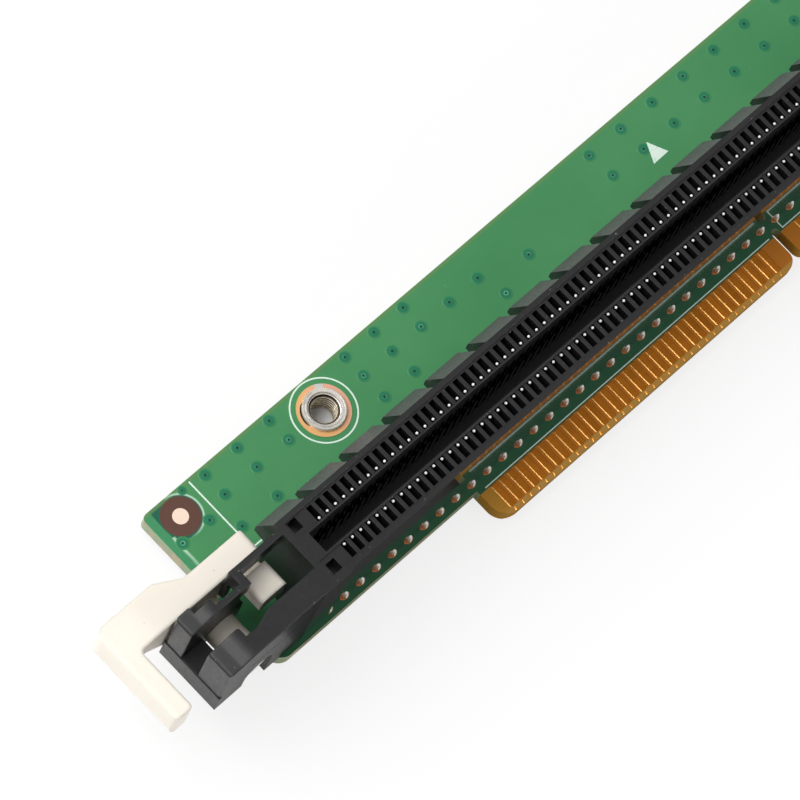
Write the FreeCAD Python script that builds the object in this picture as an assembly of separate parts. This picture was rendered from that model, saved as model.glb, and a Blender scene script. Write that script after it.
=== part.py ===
# Riser card: a printed board with an edge tongue, a 164-contact card slot on
# its front face and a retention latch at the slot's far end.
#
# Frame: millimetres. The origin is the centre of the slot's key, on the board's
# front face. +X runs along the slot from the latch towards the key and the
# short contact section, +Y runs across the board away from the edge tongue,
# and +Z points out of the front face, the way a card leaves the slot.
import FreeCAD
import Part
import math
import os

os.makedirs("parts", exist_ok=True)
Vector = FreeCAD.Vector

# ---------------------------------------------------------------- board
board_thickness = 1.57
board_left = -79.2
board_right = 21.5
board_upper = 13.3
board_lower = -4.35
board_corner_radius = 0.6
board_lower_corner_radius = 1.4
copper_thickness = 0.05

# ---------------------------------------------------------------- edge tongue
tongue_reach = 3.6
tongue_margin = 1.27
tongue_corner_radius = 1.8
tongue_bevel_depth = 0.35
tongue_bevel_length = 0.5
finger_pitch = 1.0
finger_width = 0.73
finger_length = 2.55
finger_end_margin = 0.5
first_finger_x = -52.97
long_finger_count = 36
short_finger_count = 30
skipped_fingers = 4
notch_width = 0.9
notch_depth = 3.75
notch_corner_radius = 1.2
notch_root_radius = 0.4

# ---------------------------------------------------------------- slot housing
slot_height = 11.25
slot_half_width = 3.6
contact_pitch = 1.0
long_contact_count = 71
short_contact_count = 11
key_to_contact = 1.5
latch_end_margin = 3.55
key_end_margin = 2.45
groove_half_width = 0.95
groove_latch_margin = 1.8
groove_key_margin = 1.3
groove_floor = 2.6
groove_chamfer = 0.35
key_half_length = 0.8
key_drop = 0.8
cell_length = 0.6
cell_outer = 2.9
rail_thickness = 0.4
rail_depth = 1.3
trough_inner = 1.25
trough_outer = 3.15
trough_depth = 0.3
trough_end_margin = 0.7
end_pocket_length = 1.0
end_pocket_inner = 1.85
end_pocket_outer = 3.0
end_pocket_depth = 2.0
end_pocket_wall = 0.95
peg_radius = 1.1
peg_clearance = 0.05

# buttresses along the slot's far side
buttress_length = 4.0
buttress_pitch = 5.3
buttress_reach = 1.4
buttress_top_drop = 0.15
buttress_slope_drop = 3.2
buttress_lip_height = 0.9
buttress_root_drop = 0.3
first_buttress_length = 3.75
buttress_gap = 1.25

# ---------------------------------------------------------------- latch frame
frame_length = 12.2
frame_floor = 2.15
frame_near_outer = 3.85
frame_far_outer = 3.05
brow_length = 2.6
brow_shoulder = 1.3
brow_shoulder_drop = 0.45
brow_drop = 0.7
brow_roll_radius = 2.5
brow_dip_radius = 1.2
brow_edge_radius = 0.3
channel_half_width = 1.05
channel_floor = 4.9
crosspiece_length = 2.7
crosspiece_ledge = 0.08
flare_length = 2.2
flare_taper = 0.8
near_step_start = 3.4
near_step_depth = 1.03
near_step_length = 1.35
near_taper_length = 1.8
near_run_inner = 1.5
near_corner_radius = 0.3
far_block_length = 1.6
far_shoulder_outer = 2.35
far_shoulder_length = 1.75
bearing_wall = 0.6
bearing_foot_height = 3.45
bearing_foot_reach = 2.5
bearing_neck_reach = 1.3
bearing_neck_rise = 0.6
jog_length = 0.85
jog_depth = 2.1
bridge_outer = 3.05
bridge_wall = 0.6
bridge_depth = 2.5
curtain_length = 0.6
curtain_depth = 5.5
snap_gap = 2.3

# ---------------------------------------------------------------- latch lever
pivot_from_end = 4.9
pivot_height = 3.9
barrel_radius = 1.6
barrel_clearance = 0.05
barrel_recess = 0.3
lever_top = 8.5
arm_side_gap = 0.2
arm_width = 2.35
arm_end_gap = 1.35
arm_end_depth = 2.3
arm_end_radius = 0.4
arm_boss_radius = 2.3
arm_widening = 1.4
arm_widening_start = 0.9
arm_widening_length = 2.6
arm_widening_radius = 1.6
arm_belly_run = 4.18
arm_belly_drop = 6.2
arm_neck_run = 1.18
arm_neck_drop = 2.8
handle_gap = 3.38
handle_thickness = 1.9
handle_depth = 3.6
handle_reach = 3.3
handle_corner_radius = 1.0
hook_gap = 1.65
hook_jog_gap = 0.55
hook_near = -0.5
hook_far = 2.2
hook_depth = 2.2
hook_link_drop = 1.1
hook_link_inset = 0.2

# ---------------------------------------------------------------- contacts
contact_width = 0.45
contact_thickness = 0.15
lead_row_inner = 1.25
lead_row_outer = 3.25
lead_protrusion = 1.0
contact_foot_inner = 1.9
contact_foot_outer = 2.6
contact_bulge_y = 0.8
contact_bulge_z = 7.2
contact_tip_y = 1.65
contact_tip_drop = 0.85

# ---------------------------------------------------------------- solder joints
joint_pad_radius = 0.7
joint_front_height = 1.1
joint_sides = 5
spare_lead_offset = 1.0

# ---------------------------------------------------------------- insert, target
insert_x = -59.75
insert_from_upper = 3.25
insert_bore_radius = 1.25
insert_barrel_radius = 1.75
insert_barrel_clearance = 0.03
insert_flange_radius = 2.05
insert_flange_height = 0.4
insert_chamfer = 0.35
insert_pad_radius = 2.53
target_from_left = 2.76
target_from_upper = 2.15
target_dot_radius = 0.75

# ---------------------------------------------------------------- derived places
contact_first = -key_to_contact - contact_pitch * (long_contact_count - 1)
contact_last = key_to_contact + contact_pitch * (short_contact_count - 1)
body_start = contact_first - latch_end_margin
body_end = contact_last + key_end_margin
groove_start = contact_first - groove_latch_margin
groove_end = contact_last + groove_key_margin
frame_end = body_start - frame_length
frame_wall_end = frame_end + crosspiece_ledge
pivot_x = frame_end + pivot_from_end
jog_start = pivot_x + bearing_neck_reach
jog_end = jog_start + jog_length
board_back = -board_thickness
lead_end = board_back - lead_protrusion
tongue_edge = board_lower - tongue_reach
tongue_left = first_finger_x - finger_width / 2 - tongue_margin
finger_low = tongue_edge + finger_end_margin
finger_high = finger_low + finger_length
insert_y = board_upper - insert_from_upper
target_x = board_left + target_from_left
target_y = board_upper - target_from_upper
peg_places = [(body_start + groove_start) / 2, 0.0]


def box(x0, x1, y0, y1, z0, z1):
    """A rectangular solid between two opposite corners."""
    return Part.makeBox(x1 - x0, y1 - y0, z1 - z0, Vector(x0, y0, z0))


def rounded_wire(corners, place):
    """A closed wire through corners (u, v, radius); place maps (u, v) to space."""
    edges = []
    previous_end = None
    first_start = None
    count = len(corners)
    for index, (u, v, radius) in enumerate(corners):
        corner = Vector(u, v, 0)
        before = Vector(*corners[index - 1][:2], 0) - corner
        after = Vector(*corners[(index + 1) % count][:2], 0) - corner
        before.normalize()
        after.normalize()
        if radius > 0:
            half = before.getAngle(after) / 2
            setback = radius / math.tan(half)
            bisector = before + after
            bisector.normalize()
            start = corner + before * setback
            end = corner + after * setback
            middle = corner + bisector * (radius / math.sin(half) - radius)
        else:
            start = corner
            end = corner
        if previous_end is not None and (start - previous_end).Length > 1e-7:
            edges.append(Part.LineSegment(place(previous_end), place(start)).toShape())
        if radius > 0:
            edges.append(Part.Arc(place(start), place(middle), place(end)).toShape())
        if first_start is None:
            first_start = start
        previous_end = end
    if (first_start - previous_end).Length > 1e-7:
        edges.append(Part.LineSegment(place(previous_end), place(first_start)).toShape())
    return Part.Wire(edges)


def with_radius(corner):
    """A corner given as (u, v) is sharp."""
    return corner if len(corner) == 3 else (corner[0], corner[1], 0.0)


def plan_prism(corners, z0, z1):
    """A prism with its outline in plan, from z0 up to z1."""
    wire = rounded_wire([with_radius(c) for c in corners], lambda p: Vector(p.x, p.y, z0))
    return Part.Face(wire).extrude(Vector(0, 0, z1 - z0))


def side_prism(corners, y0, y1):
    """A prism with its outline in the XZ plane, from y0 across to y1."""
    wire = rounded_wire([with_radius(c) for c in corners], lambda p: Vector(p.x, y0, p.y))
    return Part.Face(wire).extrude(Vector(0, y1 - y0, 0))


def end_prism(corners, x0, x1):
    """A prism with its outline in the YZ plane, from x0 along to x1."""
    wire = rounded_wire([with_radius(c) for c in corners], lambda p: Vector(x0, p.x, p.y))
    return Part.Face(wire).extrude(Vector(x1 - x0, 0, 0))


def upright_cylinder(x, y, radius, z0, z1):
    """A round bar along Z."""
    return Part.makeCylinder(radius, z1 - z0, Vector(x, y, z0))


def cross_cylinder(radius, y0, y1):
    """A round bar along Y on the latch pivot."""
    return Part.makeCylinder(radius, y1 - y0, Vector(pivot_x, y0, pivot_height), Vector(0, 1, 0))


def save(name, shape):
    """Write one node, which may be a group of like solids."""
    if isinstance(shape, list):
        shape = Part.makeCompound(shape)
    shape.exportStep("parts/" + name + ".step")


def contact_places():
    """The contact positions along the slot, from the latch end."""
    long_section = [contact_first + contact_pitch * i for i in range(long_contact_count)]
    short_section = [key_to_contact + contact_pitch * i for i in range(short_contact_count)]
    return long_section + short_section


def finger_places():
    """The centres of the long and the short group of edge fingers."""
    long_group = [first_finger_x + finger_pitch * i for i in range(long_finger_count)]
    short_first = first_finger_x + finger_pitch * (long_finger_count + skipped_fingers)
    short_group = [short_first + finger_pitch * i for i in range(short_finger_count)]
    return long_group, short_group


long_fingers, short_fingers = finger_places()
tongue_right = short_fingers[-1] + finger_width / 2 + tongue_margin
notch_x = (long_fingers[-1] + short_fingers[0]) / 2


# ================================================================ board pieces
def board_outline():
    """Corners of the board in plan, with the tongue and its key notch."""
    notch_left = notch_x - notch_width / 2
    notch_right = notch_x + notch_width / 2
    notch_top = tongue_edge + notch_depth
    return [
        (board_left, board_upper, board_corner_radius),
        (board_left, board_lower, board_lower_corner_radius),
        (tongue_left, board_lower),
        (tongue_left, tongue_edge, tongue_corner_radius),
        (notch_left, tongue_edge, notch_corner_radius),
        (notch_left, notch_top, notch_root_radius),
        (notch_right, notch_top, notch_root_radius),
        (notch_right, tongue_edge, notch_corner_radius),
        (tongue_right, tongue_edge, tongue_corner_radius),
        (tongue_right, board_lower),
        (board_right, board_lower, board_lower_corner_radius),
        (board_right, board_upper, board_corner_radius),
    ]


def bevel_cutters():
    """Wedges that slope both faces of the tongue towards its edge."""
    overhang = 1.0
    cutters = []
    for face, inward in ((0, -1), (board_back, 1)):
        corners = [
            (tongue_edge + tongue_bevel_length, face),
            (tongue_edge, face + inward * tongue_bevel_depth),
            (tongue_edge - overhang, face + inward * tongue_bevel_depth),
            (tongue_edge - overhang, face - inward * overhang),
            (tongue_edge + tongue_bevel_length, face - inward * overhang),
        ]
        cutters.append(end_prism(corners, tongue_left - overhang, tongue_right + overhang))
    return cutters


def peg_holes():
    """Round holes in the board for the housing's two locating pegs."""
    radius = peg_radius + peg_clearance
    return [upright_cylinder(x, 0, radius, board_back, 0) for x in peg_places]


def circuit_board():
    """The laminate, drilled for the pegs and the threaded insert."""
    laminate = plan_prism(board_outline(), board_back, 0)
    hole_radius = insert_barrel_radius + insert_barrel_clearance
    insert_hole = upright_cylinder(insert_x, insert_y, hole_radius, board_back, 0)
    return laminate.cut(bevel_cutters() + peg_holes() + [insert_hole])


def edge_fingers(places, z0, z1):
    """Contact fingers laid side by side on one face of the tongue."""
    half = finger_width / 2
    return [box(x - half, x + half, finger_low, finger_high, z0, z1) for x in places]


def insert_pad(z0, z1):
    """A bare copper ring round the threaded insert."""
    ring = upright_cylinder(insert_x, insert_y, insert_pad_radius, z0, z1)
    hole_radius = insert_barrel_radius + insert_barrel_clearance
    return ring.cut(upright_cylinder(insert_x, insert_y, hole_radius, z0, z1))


def threaded_insert():
    """A turned insert, flanged on the front and bored right through."""
    flange_top = copper_thickness + insert_flange_height
    mouth_radius = insert_bore_radius + insert_chamfer
    profile = [
        (insert_bore_radius, lead_end),
        (insert_barrel_radius, lead_end),
        (insert_barrel_radius, copper_thickness),
        (insert_flange_radius, copper_thickness),
        (insert_flange_radius, flange_top),
        (mouth_radius, flange_top),
        (insert_bore_radius, flange_top - insert_chamfer),
    ]
    points = [Vector(insert_x + r, insert_y, z) for r, z in profile]
    face = Part.Face(Part.makePolygon(points + points[:1]))
    return face.revolve(Vector(insert_x, insert_y, 0), Vector(0, 0, 1), 360)


# ================================================================ slot housing
def cell_cutter(x, side):
    """One contact cell: closed by the rail at its top, open to the groove below it."""
    overrun = 1.0
    inner = groove_half_width + rail_thickness
    into_groove = groove_half_width / 2
    rail_bottom = slot_height - rail_depth
    corners = [
        (side * into_groove, groove_floor),
        (side * cell_outer, groove_floor),
        (side * cell_outer, slot_height + overrun),
        (side * inner, slot_height + overrun),
        (side * inner, rail_bottom),
        (side * into_groove, rail_bottom),
    ]
    return end_prism(corners, x - cell_length / 2, x + cell_length / 2)


def groove_cutters():
    """The card groove with chamfered lips, interrupted by the key."""
    overrun = 1.0
    lip = groove_half_width + groove_chamfer * 0.5
    corners = [
        (-groove_half_width, groove_floor),
        (groove_half_width, groove_floor),
        (groove_half_width, slot_height - groove_chamfer),
        (lip, slot_height),
        (lip, slot_height + overrun),
        (-lip, slot_height + overrun),
        (-lip, slot_height),
        (-groove_half_width, slot_height - groove_chamfer),
    ]
    groove = end_prism(corners, groove_start, groove_end)
    key_top = slot_height - key_drop
    key = box(-key_half_length, key_half_length, -slot_half_width, slot_half_width, 0, key_top)
    return groove.cut(key)


def end_pockets():
    """Square core-outs in the top of both end blocks."""
    z0 = slot_height - end_pocket_depth
    pockets = []
    for start in (body_start + end_pocket_wall, body_end - end_pocket_wall - end_pocket_length):
        for side in (-1, 1):
            y0, y1 = sorted((side * end_pocket_inner, side * end_pocket_outer))
            pockets.append(box(start, start + end_pocket_length, y0, y1, z0, slot_height))
    return pockets


def row_troughs():
    """A shallow trough along the top of each row of cells, between rim and rail."""
    start = body_start + trough_end_margin
    end = body_end - trough_end_margin
    z0 = slot_height - trough_depth
    near = box(start, end, -trough_outer, -trough_inner, z0, slot_height)
    far = box(start, end, trough_inner, trough_outer, z0, slot_height)
    return [near, far]


def buttress_spans():
    """Start and end of each buttress along the slot."""
    spans = [(body_start, body_start + first_buttress_length)]
    start = body_start + first_buttress_length + buttress_gap
    while start + buttress_length < body_end:
        spans.append((start, start + buttress_length))
        start += buttress_pitch
    return spans


def buttresses():
    """Sloping-topped corbels along the top of the slot's far side wall."""
    top = slot_height - buttress_top_drop
    outer = slot_half_width + buttress_reach
    lip_top = top - buttress_slope_drop
    lip_bottom = lip_top - buttress_lip_height
    root = lip_bottom - buttress_root_drop
    corners = [
        (0, root),
        (slot_half_width, root),
        (outer, lip_bottom),
        (outer, lip_top),
        (slot_half_width, top),
        (0, top),
    ]
    return [end_prism(corners, start, end) for start, end in buttress_spans()]


def brow(end):
    """Corners of a frame wall's top as it rolls down, dips and rounds off at its end."""
    shoulder = slot_height - brow_shoulder_drop
    return [
        (end, slot_height),
        (frame_wall_end + brow_length, slot_height, brow_roll_radius),
        (frame_wall_end + brow_shoulder, shoulder, brow_dip_radius),
        (frame_wall_end, slot_height - brow_drop, brow_edge_radius),
    ]


def near_frame_wall():
    """The latch frame's thick wall, arched over the lever's barrel."""
    step_start = frame_end + near_step_start
    step_end = step_start + near_step_length
    step_inner = channel_half_width + near_step_depth
    flare_end = body_start + flare_length
    plan = plan_prism([
        (frame_wall_end, -frame_near_outer, 0.3),
        (flare_end, -frame_near_outer),
        (flare_end + flare_taper, -slot_half_width),
        (body_start, -slot_half_width),
        (body_start, -near_run_inner),
        (step_end + near_taper_length, -near_run_inner),
        (step_end, -step_inner),
        (step_start, -step_inner),
        (step_start, -channel_half_width, near_corner_radius),
        (frame_wall_end, -channel_half_width),
    ], 0, slot_height)
    arch_radius = barrel_radius + barrel_clearance
    side = side_prism([
        (frame_wall_end, frame_floor),
        (pivot_x - arch_radius, frame_floor),
        (pivot_x - arch_radius, pivot_height),
        (pivot_x + arch_radius, pivot_height),
        (pivot_x + arch_radius, 0),
        (flare_end + flare_taper, 0),
    ] + brow(flare_end + flare_taper), -frame_near_outer, 0)
    arch = cross_cylinder(arch_radius, -frame_near_outer, 0)
    return plan.common(side).cut(arch)


def far_frame_wall():
    """The thin wall: end block, shoulder and the bearing plate for the barrel."""
    shoulder_start = frame_end + far_block_length
    plate_start = shoulder_start + far_shoulder_length
    foot_end = pivot_x + bearing_foot_reach
    foot_top = frame_floor + bearing_foot_height
    plan = plan_prism([
        (frame_wall_end, channel_half_width),
        (foot_end, channel_half_width),
        (foot_end, channel_half_width + bearing_wall),
        (plate_start, channel_half_width + bearing_wall),
        (plate_start, far_shoulder_outer, 0.2),
        (shoulder_start, far_shoulder_outer),
        (shoulder_start, frame_far_outer, 0.2),
        (frame_wall_end, frame_far_outer, 0.3),
    ], 0, slot_height)
    side = side_prism([
        (frame_wall_end, frame_floor),
        (foot_end, frame_floor),
        (foot_end, foot_top),
        (jog_start, foot_top + bearing_neck_rise),
    ] + brow(jog_start), 0, frame_far_outer)
    bore = cross_cylinder(barrel_radius + barrel_clearance, 0, frame_far_outer)
    half_gap = snap_gap / 2
    entry = box(pivot_x - half_gap, pivot_x + half_gap, 0, frame_far_outer, 0, pivot_height)
    return plan.common(side).cut([bore, entry])


def frame_bridge():
    """The thin top wall that spans over the lever's link to the slot body."""
    bridge_inner = bridge_outer - bridge_wall
    bridge_bottom = slot_height - bridge_depth
    jog_bottom = slot_height - jog_depth
    bridge = box(jog_start, body_start, bridge_inner, bridge_outer, bridge_bottom, slot_height)
    jog = box(jog_start, jog_end, channel_half_width, bridge_outer, jog_bottom, slot_height)
    tie_start = jog_start - jog_length
    tie_outer = channel_half_width + bearing_wall
    tie = box(tie_start, jog_start, channel_half_width, tie_outer, jog_bottom, slot_height)
    curtain_bottom = slot_height - curtain_depth
    curtain = box(jog_start, jog_start + curtain_length, bridge_inner, bridge_outer,
                  curtain_bottom, slot_height)
    return [bridge, jog, tie, curtain]


def frame_crosspiece():
    """The end block under the card channel, which joins both frame walls."""
    end = frame_end + crosspiece_length
    return box(frame_end, end, -frame_near_outer, frame_far_outer, frame_floor, channel_floor)


def locating_pegs():
    """Round pegs under the housing that place it on the board."""
    return [upright_cylinder(x, 0, peg_radius, lead_end, groove_floor) for x in peg_places]


def slot_housing():
    """The one-piece moulding: slot, contact cells, buttresses and latch frame."""
    block = box(body_start, body_end, -slot_half_width, slot_half_width, 0, slot_height)
    frame = [near_frame_wall(), far_frame_wall(), frame_crosspiece()] + frame_bridge()
    solid = block.fuse(buttresses() + frame)
    cells = [cell_cutter(x, side) for x in contact_places() for side in (-1, 1)]
    solid = solid.cut([groove_cutters()] + end_pockets() + row_troughs())
    solid = solid.cut(cells)
    return solid.fuse(locating_pegs()).removeSplitter()


# ================================================================ latch lever
def latch_lever():
    """The one-piece lever: handle, arm, pivot barrel and hook block."""
    arm_inner = frame_far_outer + arm_side_gap
    arm_outer = arm_inner + arm_width
    arm_end = body_start - arm_end_gap
    wide_outer = arm_outer + arm_widening
    widening_start = pivot_x - arm_widening_start
    widening_end = widening_start - arm_widening_length
    handle_inner = frame_end - handle_gap
    handle_outer = handle_inner - handle_thickness
    plan = plan_prism([
        (arm_end, arm_inner),
        (handle_inner, arm_inner, 0.5),
        (handle_inner, -handle_reach, 0.4),
        (handle_outer, -handle_reach, 0.4),
        (handle_outer, wide_outer, handle_corner_radius),
        (widening_end, wide_outer, arm_widening_radius),
        (widening_start, arm_outer, arm_widening_radius),
        (arm_end, arm_outer, arm_end_radius),
    ], 0, lever_top)
    handle_bottom = lever_top - handle_depth
    boss_z = pivot_height - arm_boss_radius
    side = side_prism([
        (handle_outer, handle_bottom, 0.3),
        (handle_inner, handle_bottom, 0.3),
        (handle_inner, lever_top - arm_neck_drop + 0.6),
        (handle_inner + arm_neck_run, lever_top - arm_neck_drop, 0.5),
        (handle_inner + arm_belly_run, lever_top - arm_belly_drop, 1.0),
        (pivot_x - arm_boss_radius, boss_z, 0.5),
        (pivot_x + arm_boss_radius, boss_z, 2.0),
        (arm_end, lever_top - arm_end_depth, 0.5),
        (arm_end, lever_top, 0.5),
        (handle_outer, lever_top, 0.4),
    ], -handle_reach, wide_outer)
    arm = plan.common(side)
    barrel = cross_cylinder(barrel_radius, -frame_near_outer + barrel_recess, arm_outer)
    hook_end = body_start - hook_gap
    hook_start = jog_end + hook_jog_gap
    hook_bottom = lever_top - hook_depth
    hook = side_prism([
        (hook_start, hook_bottom, 0.3),
        (hook_end, hook_bottom, 0.3),
        (hook_end, lever_top, 0.5),
        (hook_start, lever_top, 0.5),
    ], hook_near, hook_far)
    link_bottom = hook_bottom + hook_link_inset
    link_top = lever_top - hook_link_drop
    link = box(hook_start + hook_link_inset, hook_end - hook_link_inset,
               hook_far, arm_inner + arm_width / 2, link_bottom, link_top)
    return arm.fuse([barrel, hook, link]).removeSplitter()


# ================================================================ contacts
def spring_contact(x, side, foot_y):
    """One sprung contact: it leans into the groove and tapers to a tip behind the rail."""
    half = contact_thickness / 2
    corners = [
        (foot_y - half, groove_floor),
        (foot_y + half, groove_floor),
        (contact_bulge_y + half, contact_bulge_z),
        (contact_tip_y, slot_height - contact_tip_drop),
        (contact_bulge_y - half, contact_bulge_z),
    ]
    outline = [(side * y, z) for y, z in corners]
    return end_prism(outline, x - contact_width / 2, x + contact_width / 2)


def lead_rows(side):
    """The contact places of one side whose leads are in the outer and inner row."""
    places = contact_places()
    first_outer = 1 if side < 0 else 0
    return places[first_outer::2], places[1 - first_outer::2]


# ================================================================ solder joints
def joint_cone(x, y, z, height):
    """A faceted solder cone on a face of the board; height is signed."""
    turn = 2 * math.pi / joint_sides
    rim = [
        Vector(x + joint_pad_radius * math.sin(turn * i), y - joint_pad_radius * math.cos(turn * i), z)
        for i in range(joint_sides)
    ]
    tip = Vector(x, y, z + height)
    faces = [Part.Face(Part.makePolygon(rim + rim[:1]))]
    for i in range(joint_sides):
        faces.append(Part.Face(Part.makePolygon([rim[i - 1], rim[i], tip, rim[i - 1]])))
    cone = Part.makeSolid(Part.makeShell(faces))
    if cone.Volume < 0:
        cone.reverse()
    return cone


def front_joints():
    """The outer row's fillets, where they show beside the slot's near wall."""
    outer_row, _ = lead_rows(-1)
    places = [contact_first - spare_lead_offset] + outer_row
    frame_wall = body_start + flare_length + flare_taper
    joints = []
    for x in places:
        wall = frame_near_outer if x - joint_pad_radius < frame_wall else slot_half_width
        outside = box(x - 1, x + 1, -lead_row_outer - 1, -wall, 0, joint_front_height)
        joints.append(joint_cone(x, -lead_row_outer, 0, joint_front_height).common(outside))
    return joints


def back_joints(places, y):
    """One row of soldered lead ends on the board's back face."""
    return [joint_cone(x, y, board_back, -lead_protrusion) for x in places]


# ================================================================ the card
copper_back = board_back - copper_thickness
save("circuit_board", circuit_board())
target = upright_cylinder(target_x, target_y, target_dot_radius, 0, copper_thickness)
save("alignment_target", target)
save("edge_fingers_front_long", edge_fingers(long_fingers, 0, copper_thickness))
save("edge_fingers_front_short", edge_fingers(short_fingers, 0, copper_thickness))
save("edge_fingers_back_long", edge_fingers(long_fingers, copper_back, board_back))
save("edge_fingers_back_short", edge_fingers(short_fingers, copper_back, board_back))
save("insert_pad_front", insert_pad(0, copper_thickness))
save("insert_pad_back", insert_pad(copper_back, board_back))
save("threaded_insert", threaded_insert())
save("slot_housing", slot_housing())
save("latch_lever", latch_lever())
save("solder_joints_front", front_joints())
for side, name in ((-1, "near"), (1, "far")):
    outer_places, inner_places = lead_rows(side)
    outer = [spring_contact(x, side, contact_foot_outer) for x in outer_places]
    inner = [spring_contact(x, side, contact_foot_inner) for x in inner_places]
    save("contacts_" + name + "_outer", outer)
    save("contacts_" + name + "_inner", inner)
    save("solder_joints_" + name + "_outer", back_joints(outer_places, side * lead_row_outer))
    save("solder_joints_" + name + "_inner", back_joints(inner_places, side * lead_row_inner))
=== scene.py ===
import math

import bmesh
import bpy
from mathutils import Euler, Matrix, Vector

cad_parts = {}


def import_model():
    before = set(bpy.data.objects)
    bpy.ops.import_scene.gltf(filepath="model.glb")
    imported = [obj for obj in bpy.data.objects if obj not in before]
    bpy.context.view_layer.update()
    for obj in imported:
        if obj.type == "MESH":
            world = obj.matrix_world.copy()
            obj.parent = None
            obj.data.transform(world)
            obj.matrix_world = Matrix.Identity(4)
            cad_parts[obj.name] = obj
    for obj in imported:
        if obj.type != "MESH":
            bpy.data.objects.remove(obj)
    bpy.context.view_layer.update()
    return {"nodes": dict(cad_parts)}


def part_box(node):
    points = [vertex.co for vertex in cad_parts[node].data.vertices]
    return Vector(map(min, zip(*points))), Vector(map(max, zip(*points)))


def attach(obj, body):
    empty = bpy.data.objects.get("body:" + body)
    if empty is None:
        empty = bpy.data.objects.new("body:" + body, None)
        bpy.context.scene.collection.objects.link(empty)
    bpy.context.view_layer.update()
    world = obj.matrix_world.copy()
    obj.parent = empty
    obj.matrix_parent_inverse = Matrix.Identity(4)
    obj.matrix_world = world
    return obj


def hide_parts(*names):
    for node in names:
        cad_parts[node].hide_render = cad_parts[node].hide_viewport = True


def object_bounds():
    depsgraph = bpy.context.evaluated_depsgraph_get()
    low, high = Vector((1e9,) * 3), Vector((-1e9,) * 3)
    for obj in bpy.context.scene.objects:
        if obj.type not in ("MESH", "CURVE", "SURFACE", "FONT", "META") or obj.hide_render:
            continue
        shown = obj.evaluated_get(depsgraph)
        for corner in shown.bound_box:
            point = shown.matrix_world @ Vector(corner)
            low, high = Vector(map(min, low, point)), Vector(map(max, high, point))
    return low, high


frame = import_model()

MM = 0.001
FRONT = 0.0                                   # the board's front face
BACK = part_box("circuit_board")[0].z           # the board's back face
FINGER_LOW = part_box("edge_fingers_front_long")[0].y
FINGER_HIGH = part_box("edge_fingers_front_long")[1].y
FINGER_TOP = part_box("edge_fingers_front_long")[1].z
MASK_EDGE = FINGER_HIGH + 0.10 * MM           # the solder mask stops here, above the fingers
BOARD_LOW, BOARD_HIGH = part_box("circuit_board")
HOUSING_LOW, HOUSING_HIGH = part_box("slot_housing")
WALL_Y = -3.6 * MM                            # the slot's near wall
FRAME_WALL_Y = HOUSING_LOW.y                  # the latch frame's near wall
FRAME_END = -76.0 * MM                        # where the latch frame ends and the slot begins
INSERT_LOW, INSERT_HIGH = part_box("threaded_insert")
INSERT_X = (INSERT_LOW.x + INSERT_HIGH.x) / 2
INSERT_Y = (INSERT_LOW.y + INSERT_HIGH.y) / 2
THREAD_CREST = 1.20 * MM
THREAD_ROOT = 1.42 * MM
THREAD_PITCH = 0.42 * MM
TARGET_LOW, TARGET_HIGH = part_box("alignment_target")
TARGET_X = (TARGET_LOW.x + TARGET_HIGH.x) / 2
TARGET_Y = (TARGET_LOW.y + TARGET_HIGH.y) / 2
POUR_LEFT = BOARD_LOW.x + 0.85 * MM           # the copper under the mask starts here
POUR_TOP = BOARD_HIGH.y - 0.22 * MM           # and ends here
TARGET_CLEAR = 1.86 * MM                      # bare circle round the alignment target
POUR_ARC = 2.08 * MM                          # the copper's own edge round that circle
SILK_THICKNESS = 0.02 * MM
STUB_LENGTH = 0.40 * MM                       # the plating stub below each finger


# ---------------------------------------------------------------- colours
def rgb(red, green, blue):
    """Linear colour from 0-255 screen values."""
    def linear(value):
        value /= 255
        return value / 12.92 if value <= 0.04045 else ((value + 0.055) / 1.055) ** 2.4
    return (linear(red), linear(green), linear(blue), 1.0)


MASK_GREEN = rgb(64, 137, 85)
MASK_LIGHT = rgb(75, 146, 93)
# painted light: the copper-free margin, lighter for light through the laminate from below
MASK_BAND_BACKLIT = rgb(64, 142, 96)
MASK_OLIVE = rgb(98, 140, 84)
MASK_HOLLOW = rgb(30, 96, 76)
# painted shade on the mask at the foot of the near wall
MASK_WALL_SHADE = rgb(34, 92, 60)
# painted highlight along the copper's edge under the mask
MASK_RIM_HIGHLIGHT = rgb(186, 222, 196)
MASK_SPECK = rgb(132, 178, 140)
VIA_TEAL = rgb(20, 116, 84)
VIA_LIP_HIGHLIGHT = rgb(120, 196, 160)
VIA_HOLE_SHADE = rgb(6, 56, 40)
LAMINATE_AMBER = rgb(206, 152, 62)
LAMINATE_WEAVE = rgb(184, 128, 48)
LAMINATE_BETWEEN = rgb(196, 122, 44)
LAMINATE_EDGE = rgb(142, 158, 122)
LAMINATE_TAN = rgb(170, 156, 124)
LAMINATE_OLIVE = rgb(172, 126, 48)
GOLD_FINGER = rgb(216, 132, 42)
GOLD_EDGE_HIGHLIGHT = rgb(240, 178, 104)
GOLD_CONTACT = rgb(120, 92, 54)
BLACK_PLASTIC = rgb(23, 23, 25)
BLACK_CLOUD = rgb(29, 29, 31)
BLACK_DUST = rgb(150, 148, 142)
WHITE_PLASTIC = rgb(241, 233, 220)
WHITE_TINT = rgb(245, 238, 226)
WHITE_SPECK = rgb(206, 192, 172)
COPPER = rgb(240, 184, 122)
COPPER_PINK_SHADING = rgb(236, 178, 148)
TIN_SMEAR = rgb(206, 208, 204)
TIN = rgb(246, 238, 226)
STREAK_HIGHLIGHT = rgb(255, 254, 250)
JOINT_COPPER = rgb(190, 116, 72)
NICKEL = rgb(252, 247, 238)
CREST_PALE = rgb(240, 228, 202)
ROOT_SHADE = rgb(66, 54, 40)
TIP_WHITE = rgb(255, 255, 255)
TIP_WARM = rgb(255, 252, 246)
DOT_LIGHT = rgb(252, 228, 208)
DOT_DARK = rgb(246, 218, 198)
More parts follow.
